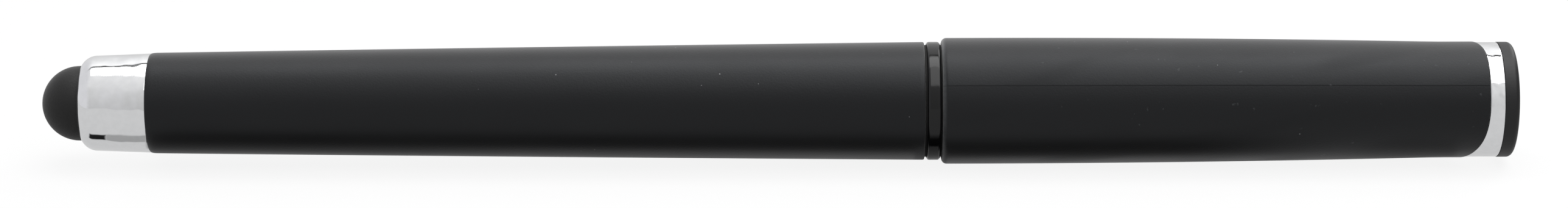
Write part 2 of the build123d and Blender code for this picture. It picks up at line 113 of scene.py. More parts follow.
# Painted shadow on the floor, which only the pen's reflections show: dark strips, each with its strength,
# then the edges in X and in Y, each from clear to dark, in millimetres
PAINTED_SHADOW_STRIPS = (
    (1.0, (9.7, 10.3), (83.6, 83.1), (-9.0, -6.8), (-3.2, -4.0)),
    (1.0, (82.9, 83.3), (86.3, 85.9), (-9.0, -6.8), (-4.6, -5.1)),
    (0.5, (82.9, 83.3), (86.3, 85.9), (-5.4, -4.8), (0.0, -1.5)),
    (1.0, (85.6, 86.1), (128, 108), (-9.0, -6.8), (-3.2, -4.0)),
    (1.0, (2.6, 3.4), (5.8, 5.4), (-6.4, -5.8), (-3.8, -4.2)),
    (0.45, (5.4, 5.8), (10.3, 9.7), (-6.4, -5.8), (-3.8, -4.2)),
    (0.5, (122, 131), (135.4, 134.4), (-6.8, -4.8), (-0.5, -2.0)),
    (0.6, (9.7, 10.3), (70, 20), (-5.0, -4.4), (-1.0, -2.2)),
)

# Softboxes: distance from the pen in metres; name, edges along the pen in metres, elevations in degrees
SOFTBOX_DISTANCE = 0.5
SOFTBOXES = (
    ("overhead_softbox", (-0.14, 0.46), (85.4, 112.4)),
    ("cap_softbox", (0.03, 0.50), (46.5, 85)),
    ("end_softbox", (0.32, 0.56), (121, 152)),
)


def mm(*values):
    """Millimetres as metres."""
    return [value * MM for value in values]


def reach(node):
    """First station, last station and widest radius of a turned CAD node."""
    low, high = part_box(node)
    return low.x, high.x, high.z


def number(name, description, default, **kind):
    """A value that a user may change."""
    return FloatProperty(name=name, description=description, default=default, **kind)


def length(name, description, default):
    """A size of the pen, given in millimetres and kept in metres."""
    return number(name, description, default * MM, unit="LENGTH", precision=5)


def tilt(name, description, default):
    """An angle, given in degrees and kept in radians."""
    return number(name, description, radians(default), subtype="ANGLE")


def watts(name, description, default):
    """Power of a softbox."""
    return number(name, description, default, subtype="POWER", unit="POWER")


def portion(name, description, default):
    """A share of one."""
    return number(name, description, default, min=0, max=1, subtype="FACTOR")


def tint(name, description, default):
    """A colour of the pen or its studio."""
    return FloatVectorProperty(
        name=name, description=description, default=default, subtype="COLOR", size=3, min=0, max=1
    )


class PenSizes(bpy.types.PropertyGroup):
    """Sizes of the pen's pieces"""

    dome_radius: length("Dome radius", "Radius of the rubber touch dome", 3.55)
    dome_wall: length("Dome wall", "Thickness of the dome's rubber", 0.9)
    ferrule_nose: length("Ferrule nose", "Length of the ferrule's rounded nose", 1.45)
    lip_setback: length("Lip setback", "Roll of the ferrule's lip towards the dome", 0.06)
    ferrule_taper: length("Ferrule taper", "Rise of the ferrule from its nose to the barrel", 0.19)
    barrel_step: length("Barrel step", "Height of the barrel's end above the ferrule", 0.08)
    barrel_lead: length("Barrel lead", "Length of the eased front edge of the barrel", 0.7)
    barrel_ease: length("Barrel ease", "Fall of the eased front edge of the barrel", 0.09)
    barrel_bulge: length("Barrel bulge", "Swell of the barrel between its ends", 0.035)
    ring_width: length("Ring width", "Width of the centre ring's band", 1.31)
    ring_edge: length("Ring edge", "Radius of the centre ring's edges", 0.28)
    groove_depth: length("Groove depth", "Depth of the grooves beside the ring", 0.3)
    collar_length: length("Collar length", "Length of the collar that the cap slides on", 4.2)
    thread_pitch: length("Thread pitch", "Pitch of the section's screw thread", 0.75)
    thread_depth: length("Thread depth", "Depth of the section's screw thread", 0.26)
    cap_mouth_edge: length("Cap mouth edge", "Radius of the cap's mouth", 0.5)
    cap_straight: length("Cap straight", "Length of the cap before it narrows", 3.3)
    cap_taper: length("Cap taper", "How much the cap's radius narrows", 0.475)
    parting_depth: length("Parting depth", "Step at the cap's parting line", 0.018)
    parting_width: length("Parting width", "Width of the step at the cap's parting line", 0.05)
    crown_setback: length("Crown setback", "Step from the cap's skin down to the crown", 0.065)
    crown_front: length("Crown front", "Width of the crown opposite the clip", 1.45)
    crown_side: length("Crown side", "Width of the crown at its sides", 2.92)
    crown_back: length("Crown back", "Width of the crown under the clip", 5.3)
    clip_width: length("Clip width", "Width of the clip at its root", 4.4)
    clip_tip_width: length("Clip tip width", "Width of the clip at its tip", 3.4)
    clip_thickness: length("Clip thickness", "Thickness of the clip's arm", 1.0)
    clip_crown: length("Clip crown", "Radius of the clip's rounded back", 7.0)
    clip_dip: tilt("Clip dip", "Angle of the clip below level", 30.092)
    plug_edge: length("Plug edge", "Radius of the end plug's edge", 0.5)
    spring_wire: length("Spring wire", "Diameter of the refill spring's wire", 0.4)
    spring_turns: IntProperty(
        name="Spring turns", description="Turns of the refill spring", default=6, min=2, max=20
    )


class PenFinishes(bpy.types.PropertyGroup):
    """Colours of the pen's finishes"""

    coat: tint("Coat", "Soft-touch coat of barrel and cap", (0.0021, 0.0021, 0.0025))
    rubber: tint("Rubber", "Rubber of the touch dome", (0.0075, 0.0074, 0.0073))
    plating: tint("Plating", "Bright plating of ferrule, crown, clip and nose", (0.815, 0.82, 0.83))
    gloss: tint("Gloss", "Gloss plastic of the centre ring and the section", (0.0045, 0.0045, 0.0048))
    plug: tint("Plug", "Satin plastic of the end plug", (0.0058, 0.0058, 0.0062))
    natural: tint("Natural plastic", "Unpigmented plastic of liner and connector", (0.80, 0.79, 0.74))
    steel: tint("Steel", "Steel of point, ball and spring", (0.56, 0.55, 0.53))
    ink: tint("Ink", "Ink in the refill", (0.006, 0.006, 0.012))
    grease: tint("Grease", "Grease behind the ink", (0.75, 0.66, 0.42))
    tube: tint("Tube", "Clear plastic of the refill's tube", (0.92, 0.93, 0.93))
    alloy: tint("Alloy", "Alloy of the post behind the dome", (0.62, 0.62, 0.6))
    # Painted shade: the darker colour of the centre ring's grooves
    groove: tint("Groove", "Grooves beside the centre ring", (0.0005, 0.0005, 0.0005))
    worn: tint("Worn coat", "Coat where it is nicked or worn", (0.055, 0.058, 0.06))
    dust: tint("Dust", "Specks of dust on the coat", (0.16, 0.16, 0.165))


class PenStudio(bpy.types.PropertyGroup):
    """Camera, floor and light"""

    lens: number("Lens", "Focal length in millimetres", 90.6, unit="CAMERA", min=10, max=300)
    distance: length("Distance", "Distance of the camera from the pen", 376.5)
    elevation: tilt("Elevation", "Camera above level", 16.3)
    roll: tilt("Roll", "Turn of the picture", -0.16)
    aim: length("Aim", "Station of the pen that the camera looks at", 70.7)
    drop: length("Drop", "How far below the axis the camera looks", 0.26)
    overhead_softbox: watts("Overhead softbox", "Power of the softbox above the pen", 1.54)
    cap_softbox: watts("Cap softbox", "Power of the softbox in front of the cap", 1.0)
    end_softbox: watts("End softbox", "Power of the softbox behind the cap's end", 1.0)
    backdrop: tint("Backdrop", "Colour of the light tent beyond the dome", (0.78, 0.78, 0.80))
    floor: tint("Floor", "Colour of the floor", (0.68, 0.68, 0.68))
    bounce: tint("Floor's bounce", "Colour of the floor as the pen mirrors it", (0.10, 0.10, 0.10))
    # Colour of the floor's painted shadow strips, as the pen mirrors them
    shade: tint("Floor's shade", "The same in the dark strips", (0.01, 0.01, 0.01))
    glow: portion("Glow", "Share of plain white in the floor", 0.88)
    mirrored: portion("Mirrored glow", "The same share as the pen mirrors it", 0.65)


GROUPS = {"pen_sizes": PenSizes, "pen_finishes": PenFinishes, "pen_studio": PenStudio}


def sizes():
    return bpy.context.scene.pen_sizes


def finishes():
    return bpy.context.scene.pen_finishes


class Wiring:
    """A node tree, and the steps that fill it."""

    def __init__(self, tree):
        self.tree = tree
        tree.nodes.clear()

    def add(self, kind, settings=None, **values):
        """A node with its settings, and its inputs set or linked by name."""
        node = self.tree.nodes.new(kind)
        for key, value in (settings or {}).items():
            setattr(node, key, value)
        for key, value in values.items():
            self.feed(node.inputs[key.strip("_").replace("_", " ")], value)
        return node

    def feed(self, socket, value):
        if isinstance(value, bpy.types.NodeSocket):
            self.tree.links.new(value, socket)
        else:
            socket.default_value = value

    def sum(self, operation, *values):
        """One step of arithmetic."""
        node = self.add("ShaderNodeMath", {"operation": operation})
        for socket, value in zip(node.inputs, values):
            self.feed(socket, value)
        return node.outputs[0]

    def between(self, value, low, high, start=0.0, end=1.0, kind="SMOOTHSTEP"):
        """A value moved from one range to another."""
        node = self.add("ShaderNodeMapRange", {"interpolation_type": kind}, Value=value)
        for key, limit in zip(("From Min", "From Max", "To Min", "To Max"), (low, high, start, end)):
            self.feed(node.inputs[key], limit)
        return node.outputs["Result"]

    def blend(self, share, one, two):
        """A mix of two colours."""
        node = self.add("ShaderNodeMix", {"data_type": "RGBA"})
        self.feed(node.inputs[0], share)
        self.feed(node.inputs[6], one)
        self.feed(node.inputs[7], two)
        return node.outputs[2]


class Finish(Wiring):
    """A finish and its node tree."""

    def __init__(self, name, **values):
        self.material = bpy.data.materials.new(name)
        self.material.use_nodes = True
        super().__init__(self.material.node_tree)
        self.shader = self.add("ShaderNodeBsdfPrincipled", **values)
        self.output = self.add("ShaderNodeOutputMaterial", Surface=self.shader.outputs["BSDF"])
        place = self.add("ShaderNodeTexCoord")
        scale = self.add("ShaderNodeMapping", Vector=place.outputs["Object"], Scale=(1000, 1000, 1000))
        self.place = scale.outputs["Vector"]

    def noise(self, scale, detail=2.0, place=None):
        node = self.add("ShaderNodeTexNoise", Vector=place or self.place, Scale=scale, Detail=detail)
        return node.outputs["Fac"]

    def bump(self, height, depth):
        """Relief of a depth in millimetres."""
        node = self.add("ShaderNodeBump", Height=height, Distance=depth * MM, Strength=1.0)
        return node.outputs["Normal"]

    def mottled(self, noise, colour, share, low=0.3, high=0.7):
        """A colour that a noise takes down to a share of itself."""
        return self.blend(self.between(noise, low, high), full([share * c for c in colour]), full(colour))

    def skin(self, tone, rough, relief):
        """The material, with its colour, roughness and relief wired up."""
        for key, value in (("Base Color", tone), ("Roughness", rough), ("Normal", relief)):
            self.feed(self.shader.inputs[key], value)
        return self.material

    def unrolled(self):
        """Station along the pen and angle round it, from the side away from the clip."""
        place = self.add("ShaderNodeSeparateXYZ", Vector=self.place)
        angle = self.sum("ARCTAN2", place.outputs["Z"], self.sum("MULTIPLY", place.outputs["Y"], -1.0))
        return place.outputs["X"], angle


def full(colour):
    return (*colour, 1.0)


def coat_finish(name, mouth=None):
    """Soft-touch coat: matt, grained and dusty; the cap's is also nicked, rubbed and worn at its mouth."""
    colours = finishes()
    made = Finish(
        name, IOR=1.35, Specular_Tint=(0.93, 0.96, 1.0, 1), Sheen_Weight=0.33, Sheen_Roughness=0.43
    )
    cloud = made.noise(0.09, 4.0)
    dots = made.add("ShaderNodeTexVoronoi", Vector=made.place, Scale=0.55)
    speck = made.sum("MULTIPLY", dots.outputs["Color"], 0.05)
    dust = made.sum("LESS_THAN", dots.outputs["Distance"], speck)
    tone = made.mottled(cloud, colours.coat, 0.93)
    rough = made.between(cloud, 0.3, 0.7, 0.43, 0.48)
    if mouth:
        station, angle = made.unrolled()
        nicks = made.between(made.noise(1.3, 5.0), 0.70, 0.74, 0, 0.5)
        bare, whole = mouth / MM + 0.02, mouth / MM + 0.42
        rim = made.between(station, bare, whole, 1, 0)
        rim = made.sum("MULTIPLY", rim, made.between(made.noise(3.0, 3.0), 0.2, 0.7, 0.55, 1))
        tone = made.blend(made.sum("MAXIMUM", nicks, rim), tone, full(colours.worn))
        # Rubbed marks are drawn-out streaks that climb round the cap, a radian in so many millimetres
        origin, climb, draw = 0.59, 15.0, 0.08
        climbed = made.sum("MULTIPLY", made.sum("SUBTRACT", angle, origin), climb)
        along = made.sum("MULTIPLY", made.sum("SUBTRACT", station, climbed), draw)
        streak = made.add("ShaderNodeCombineXYZ", X=along, Y=angle)
        rubbed = made.noise(1.1, 1.5, streak.outputs["Vector"])
        rough = made.sum("ADD", rough, made.between(rubbed, 0.5, 0.68, 0, 0.08))
    tone = made.blend(dust, tone, full(colours.dust))
    return made.skin(tone, rough, made.bump(made.noise(6.0, 3.0), 0.012))


def rubber_finish():
    """Rubber of the touch dome: dull, with a fine powdery grain."""
    made = Finish("dome_rubber", IOR=1.40, Sheen_Weight=0.15, Sheen_Roughness=0.4)
    grain = made.noise(5.0, 4.0)
    tone = made.mottled(grain, finishes().rubber, 0.85, 0.35, 0.65)
    return made.skin(tone, made.between(grain, 0.3, 0.7, 0.58, 0.68), made.bump(grain, 0.015))


def plating_finish(name="bright_plating", ripple=0.22, waves=0.34):
    """Bright plating over a rippled moulding: depth in millimetres, and waves a millimetre."""
    made = Finish(name, Metallic=1.0)
    haze = made.noise(1.6, 3.0)
    tone = made.mottled(haze, finishes().plating, 0.965, 0.35)
    rough = made.between(haze, 0.3, 0.7, 0.05, 0.09)
    return made.skin(tone, rough, made.bump(made.noise(waves, 1.3), ripple))


def moulded_finish(name, colour, rough, ior=1.45, grain_depth=0.004, see_through=0.0):
    """Moulded plastic with faint flow lines and a fine grain."""
    made = Finish(name, IOR=ior, Transmission_Weight=see_through)
    flow = made.noise(0.35, 2.0)
    tone = made.mottled(flow, colour, 0.9)
    grain = made.bump(made.noise(4.0, 3.0), grain_depth)
    return made.skin(tone, made.between(flow, 0.3, 0.7, rough, rough + 0.05), grain)


def ring_finish(wide):
    """Gloss of the centre ring's band, dull down in its grooves, which also take a painted shade."""
    colours = finishes()
    made = Finish("ring_gloss", IOR=1.385)
    place = made.add("ShaderNodeSeparateXYZ", Vector=made.place)
    sides = made.add("ShaderNodeCombineXYZ", Y=place.outputs["Y"], Z=place.outputs["Z"])
    radius = made.add("ShaderNodeVectorMath", {"operation": "LENGTH"})
    made.feed(radius.inputs[0], sides.outputs["Vector"])
    dull, bright = wide / MM - 0.29, wide / MM - 0.16
    band = made.between(radius.outputs["Value"], dull, bright)
    flow = made.noise(0.6, 3.0)
    # Painted shade: the grooves take a darker colour than the band
    tone = made.blend(band, full(colours.groove), full(colours.gloss))
    rough = made.sum("ADD", made.between(flow, 0.3, 0.7, 0.10, 0.15), made.between(band, 0, 1, 0.6, 0))
    return made.skin(tone, rough, made.bump(flow, 0.02))


def steel_finish():
    """Steel with fine turning marks round the axis."""
    colour = finishes().steel
    made = Finish("turned_steel", Metallic=1.0)
    station, angle = made.unrolled()
    marks = made.add("ShaderNodeCombineXYZ", X=station, Y=made.sum("MULTIPLY", angle, 0.02))
    turning = made.noise(14.0, 2.0, marks.outputs["Vector"])
    tone = made.blend(turning, full([0.9 * c for c in colour]), full(colour))
    return made.skin(tone, made.between(turning, 0.3, 0.7, 0.16, 0.26), made.bump(turning, 0.002))


def arc(centre, radius, start, end, steps):
    """Points of an outline along an arc; angles in degrees."""
    turn = [radians(start + (end - start) * k / steps) for k in range(steps + 1)]
    return [(centre[0] + radius * cos(a), centre[1] + radius * sin(a)) for a in turn]


def beside(x, r, *offsets):
    """Points of an outline near a corner, by their offsets from it in millimetres."""
    return [(x + along * MM, r + out * MM) for along, out in offsets]


def spaced(start, end, steps):
    """Even steps from one station to another, both left out."""
    return [start + (end - start) * k / steps for k in range(1, steps)]


def softened(corners, steps=5):
    """An outline whose corners (station, radius, edge) are rounded, with a support point each side."""
    points = []
    count = len(corners)
    for k, (x, r, edge) in enumerate(corners):
        if edge == 0:
            points.append((x, r))
            continue
        here = Vector((x, r))
        before = Vector(corners[k - 1][:2]) - here
        after = Vector(corners[(k + 1) % count][:2]) - here
        room = before.length, after.length
        before.normalize()
        after.normalize()
        half = acos(max(-1, min(1, before.dot(after)))) / 2
        back = edge / tan(half)
        support = 1.4 * back
        middle = here + (before + after).normalized() * (edge / sin(half))
        first = here + before * back
        last = here + after * back
        if support < room[0]:
            points.append(tuple(here + before * support))
        for s in range(steps + 1):
            point = (first + (last - first) * (s / steps)) - middle
            points.append(tuple(middle + point.normalized() * edge))
        if support < room[1]:
            points.append(tuple(here + after * support))
    return points


def turned(name, outline_at, angles=None):
    """A closed piece turned about the pen's axis; the outline may change round it."""
    angles = angles or [2 * pi * k / SIDES for k in range(SIDES)]
    shape = bmesh.new()
    columns = []
    poles = {}
    for angle in angles:
        column = []
        for k, (x, r) in enumerate(outline_at(angle)):
            if r < NO_RADIUS:
                if k not in poles:
                    poles[k] = shape.verts.new((x, 0, 0))
                column.append(poles[k])
            else:
                column.append(shape.verts.new((x, r * cos(angle), r * sin(angle))))
        columns.append(column)
    for one, two in zip(columns, columns[1:] + columns[:1]):
        for k in range(len(one)):
            n = (k + 1) % len(one)
            corners = list(dict.fromkeys((one[k], one[n], two[n], two[k])))
            if len(corners) > 2:
                shape.faces.new(corners)
    return finished(name, shape)


def placed(name, data):
    """A new object in the scene."""
    thing = bpy.data.objects.new(name, data)
    bpy.context.scene.collection.objects.link(thing)
    return thing


def settle(shape, mesh, crease):
    """Turn a closed shape into a smooth mesh, its creases kept."""
    bmesh.ops.remove_doubles(shape, verts=shape.verts, dist=SAME_POINT)
    bmesh.ops.recalc_face_normals(shape, faces=shape.faces)
    shape.to_mesh(mesh)
    shape.free()
    mesh.shade_smooth()
    mesh.set_sharp_from_angle(angle=radians(crease))


def finished(name, shape):
    """A mesh object from a closed shape."""
    mesh = bpy.data.meshes.new(name)
    settle(shape, mesh, CREASE)
    return placed(name, mesh)


def fit(piece, body, node, finish):
    """Give a piece its finish, and put it in the place of a CAD node."""
    piece.data.materials.clear()
    piece.data.materials.append(finish)
    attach(piece, body)
    if node:
        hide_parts(node)


def refinish(finish, *nodes):
    """Give CAD nodes that keep their shape a finish."""
    for node in nodes:
        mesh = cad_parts[node].data
        mesh.materials.clear()
        mesh.materials.append(finish)


class Growth(Wiring):
    """A geometry node tree with named inputs."""

    def __init__(self, name, lengths, counts):
        tree = bpy.data.node_groups.new(name, "GeometryNodeTree")
        super().__init__(tree)
        tree.is_modifier = True
        kinds = [(key, "NodeSocketFloat") for key in lengths] + [(key, "NodeSocketInt") for key in counts]
        for key, kind in kinds + [("Finish", "NodeSocketMaterial")]:
            tree.interface.new_socket(key, in_out="INPUT", socket_type=kind)
        tree.interface.new_socket("Geometry", in_out="OUTPUT", socket_type="NodeSocketGeometry")
        self.given = self.add("NodeGroupInput").outputs

    def choice(self, place, values):
        """The value that stands at a place in a list."""
        node = self.add("GeometryNodeIndexSwitch", {"data_type": "FLOAT"}, Index=place)
        while len(node.index_switch_items) < len(values):
            node.index_switch_items.new()
        for socket, value in zip(node.inputs[1:], values):
            self.feed(socket, value)
        return node.outputs[0]

    def end(self, shape):
        real = self.add("GeometryNodeRealizeInstances", Geometry=shape)
        paint = self.add(
            "GeometryNodeSetMaterial", Geometry=real.outputs["Geometry"], Material=self.given["Finish"]
        )
        self.add("NodeGroupOutput", Geometry=paint.outputs["Geometry"])
        return self.tree


def coil_tree():
    """Geometry nodes that wind a bar round the pen's axis."""
    made = Growth("wound_bar", ("Start", "Length", "Turns", "Radius", "Bar"), ("Bar Sides",))
    given = made.given
    coil = made.add(
        "GeometryNodeCurveSpiral",
        Resolution=40,
        Rotations=given["Turns"],
        Start_Radius=given["Radius"],
        End_Radius=given["Radius"],
        Height=given["Length"],
    )
    shift = made.add("ShaderNodeCombineXYZ", X=given["Start"])
    lay = made.add(
        "GeometryNodeTransform",
        Geometry=coil.outputs["Curve"],
        Translation=shift.outputs["Vector"],
        Rotation=(0, pi / 2, 0),
    )
    bar = made.add("GeometryNodeCurvePrimitiveCircle", Resolution=given["Bar Sides"], Radius=given["Bar"])
    sweep = made.add(
        "GeometryNodeCurveToMesh",
        Curve=lay.outputs["Geometry"],
        Profile_Curve=bar.outputs["Curve"],
        Fill_Caps=True,
    )
    return made.end(sweep.outputs["Mesh"])


def barrel_tree():
    """Geometry nodes of the barrel: a tapered, slightly swollen skin turned round a stepped bore."""
    lengths = ("Front", "Back", "Front Radius", "Back Radius", "Swell", "Lead", "Ease", "Lip")
    lengths += ("Bore", "Thread Start", "Thread Bore", "Chamfer")
    made = Growth("tapered_barrel", lengths, ("Skin Rings", "Sides"))
    front, back, front_radius, back_radius, swell, lead, ease, lip = (made.given[key] for key in lengths[:8])
    bore, thread_start, thread_bore, chamfer = (made.given[key] for key in lengths[8:])
    rings = made.given["Skin Rings"]
    bore_rings = 6

    def sums(operation):
        return lambda one, two: made.sum(operation, one, two)

    add, less, times = map(sums, ("ADD", "SUBTRACT", "MULTIPLY"))
    grid = made.add(
        "GeometryNodeMeshGrid",
        Size_X=1.0,
        Size_Y=1.0,
        Vertices_X=add(rings, bore_rings),
        Vertices_Y=add(made.given["Sides"], 1),
    )
    place = made.add("ShaderNodeSeparateXYZ", Vector=made.add("GeometryNodeInputPosition").outputs[0])
    last = add(rings, bore_rings - 1)
    ring = made.sum("ROUND", times(add(place.outputs["X"], 0.5), last))
    angle = times(add(place.outputs["Y"], 0.5), 2 * pi)

    # The skin: an eased front edge, a tapered run and a rounded lip, each with its share of the rings
    lead_end, lip_start = 0.14, 0.92
    skin = made.sum("DIVIDE", ring, less(rings, 1))
    turn_in = made.between(skin, 0, lead_end, 0, pi / 2, "LINEAR")
    run = made.between(skin, lead_end, lip_start, 0, 1, "LINEAR")
    turn_out = made.between(skin, lip_start, 1, 0, pi / 2, "LINEAR")
    straight = less(less(less(back, front), lead), lip)
    station = add(front, times(lead, less(1, made.sum("COSINE", turn_in))))
    station = add(station, times(straight, run))
    station = add(station, times(lip, made.sum("SINE", turn_out)))
    taper = times(less(back_radius, front_radius), run)
    bulge = times(times(swell, 4), times(run, less(1, run)))
    radius = add(add(front_radius, taper), bulge)
    radius = less(radius, times(ease, less(1, made.sum("SINE", turn_in))))
    radius = less(radius, times(lip, less(1, made.sum("COSINE", turn_out))))

    # The stepped bore, back to the front edge
    inside = less(ring, rings)
    stations = (back, less(back, chamfer), thread_start, thread_start, front, front)
    radii = (add(thread_bore, chamfer), thread_bore, thread_bore, bore, bore, less(front_radius, ease))
    hidden = made.sum("GREATER_THAN", inside, -0.5)
    turned_to = []
    for skin_value, values in ((station, stations), (radius, radii)):
        pick = made.add("GeometryNodeSwitch", {"input_type": "FLOAT"}, Switch=hidden, False_=skin_value)
        made.feed(pick.inputs["True"], made.choice(inside, values))
        turned_to.append(pick.outputs[0])
    x, r = turned_to
    y = times(r, made.sum("COSINE", angle))
    z = times(r, made.sum("SINE", angle))
    point = made.add("ShaderNodeCombineXYZ", X=x, Y=y, Z=z)
    moved = made.add(
        "GeometryNodeSetPosition", Geometry=grid.outputs["Mesh"], Position=point.outputs["Vector"]
    )
    closed = made.add("GeometryNodeMergeByDistance", Geometry=moved.outputs["Geometry"], Distance=1e-6)
    return made.end(closed.outputs["Geometry"])


def grown(name, tree, crease, **values):
    """The plain mesh that a geometry node tree makes of its inputs."""
    piece = placed(name, bpy.data.meshes.new(name))
    modifier = piece.modifiers.new("growth", "NODES")
    modifier.node_group = tree
    for item in tree.interface.items_tree:
        if item.in_out == "INPUT":
            modifier[item.identifier] = values[item.name.replace(" ", "_").lower()]
    graph = bpy.context.evaluated_depsgraph_get()
    mesh = bpy.data.meshes.new_from_object(piece.evaluated_get(graph), depsgraph=graph)
    piece.modifiers.clear()
    piece.data = mesh
    mesh.name = name
    shape = bmesh.new()
    shape.from_mesh(mesh)
    settle(shape, mesh, crease)
    return piece


class PEN_OT_stylus_end(bpy.types.Operator):
    """Make the rubber touch dome and the bright ferrule that holds it"""

    bl_idname = "pen.stylus_end"
    bl_label = "Stylus End"

    def execute(self, context):
        size = sizes()
        apex, flange_end, flange = reach("stylus_dome")
        lip, joint, back = reach("stylus_ferrule")
        lip += size.lip_setback
        r = size.dome_radius
        flange_thickness, lip_edge = mm(0.8, 0.06)
        chamber = flange_end - flange_thickness
        outline = [(apex, 0)] + arc((apex + r, 0), r, 180, 90, 28)[1:]
        outline += [(chamber, r), (chamber, flange), (flange_end, flange)]
        hollow = r - size.dome_wall
        outline += [(flange_end, hollow)] + arc((apex + r, 0), hollow, 90, 180, 12)[:-1]
        outline += [(apex + size.dome_wall, 0)]
        dome = turned("stylus_dome_rubber", lambda a: outline)
        fit(dome, "barrel", "stylus_dome", rubber_finish())

        front = back - size.ferrule_taper
        lip_radius = r + FIT
        drop = front - lip_radius
        nose_round = (size.ferrule_nose**2 + drop**2) / (2 * drop)
        sweep = asin(size.ferrule_nose / nose_round) * 180 / pi
        nose = arc((lip + size.ferrule_nose, front - nose_round), nose_round, 90 + sweep, 90, 18)
        skin = [(chamber, lip_radius), (lip + lip_edge, lip_radius)] + nose
        run = joint - nose[-1][0]
        skin += [(nose[-1][0] + run * k / 6, front + size.ferrule_taper * k / 6) for k in range(1, 6)]
        skin += beside(joint, back, (-0.1, 0), (-0.03, -0.01), (0, -0.05))
        skin += [(joint, flange + FIT), (chamber, flange + FIT)]
        ferrule = turned("stylus_ferrule_plated", lambda a: skin)
        fit(ferrule, "barrel", "stylus_ferrule", plating_finish())
        refinish(moulded_finish("post_alloy", finishes().alloy, 0.35), "stylus_post")
        return {"FINISHED"}


class PEN_OT_barrel(bpy.types.Operator):
    """Make the tapered barrel with its soft-touch coat"""

    bl_idname = "pen.barrel"
    bl_label = "Barrel"

    def execute(self, context):
        size = sizes()
        joint, mouth, wide = reach("barrel")
        thread_run_out, thread_wall = mm(0.6, 1.355)
        coat = coat_finish("barrel_coat")
        barrel = grown(
            "barrel_coated",
            barrel_tree(),
            CREASE,
            front=joint,
            back=mouth,
            front_radius=reach("stylus_ferrule")[2] + size.barrel_step,
            back_radius=wide,
            swell=size.barrel_bulge,
            lead=size.barrel_lead,
            ease=size.barrel_ease,
            lip=0.14 * MM,
            bore=reach("stylus_post")[2] + FIT,
            thread_start=reach("grip_section")[0] - thread_run_out,
            thread_bore=wide - thread_wall,
            chamfer=0.2 * MM,
            skin_rings=72,
            sides=SIDES,
            finish=coat,
        )
        fit(barrel, "barrel", "barrel", coat)
        return {"FINISHED"}


class PEN_OT_refill(bpy.types.Operator):
    """Finish the refill, turn its point and wind its spring"""

    bl_idname = "pen.refill"
    bl_label = "Refill"

    def execute(self, context):
        size = sizes()
        steel = steel_finish()
        start, rim, r = reach("refill_point")
        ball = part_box("writing_ball")
        seat = (ball[0].x + ball[1].x) / 2
        bead = (ball[1].x - ball[0].x) / 2 + FIT
        mouth = sqrt(bead**2 - (rim - seat) ** 2)
        channel, cone, land = mm(0.25, 2.2, 0.3)
        corners = [(start, channel, 0), (start, r, 0.1 * MM), (rim - cone, r, 0.6 * MM)]
        corners += [(rim - land, mouth + 0.22 * MM, 0.2 * MM), (rim, mouth + 0.1 * MM, 0.03 * MM)]
        corners += [(rim, mouth, 0), (seat, bead, 0), (seat - bead, channel, 0)]
        outline = softened(corners)
        point = turned("refill_point_turned", lambda a: outline)
        fit(point, "refill", "refill_point", steel)
        refinish(steel, "writing_ball")

        low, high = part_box("refill_spring")
        wire = size.spring_wire / 2
        spring = grown(
            "refill_spring_wound",
            coil_tree(),
            COIL_CREASE,
            start=low.x + wire,
            length=high.x - low.x - 2 * wire,
            turns=float(size.spring_turns),
            radius=high.y - wire,
            bar=wire,
            bar_sides=10,
            finish=steel,
        )
        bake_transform(spring)
        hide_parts("refill_spring")
        colours = finishes()
        natural = moulded_finish("natural_plastic", colours.natural, 0.4, see_through=0.25)
        refinish(natural, "refill_tail_plug", "refill_connector", "inner_cap")
        refinish(moulded_finish("tube_plastic", colours.tube, 0.12, see_through=0.9), "refill_tube")
        refinish(moulded_finish("ink", colours.ink, 0.1, 1.34), "ink_column")
        refinish(moulded_finish("grease", colours.grease, 0.2, see_through=0.5), "ink_follower")
        return {"FINISHED"}


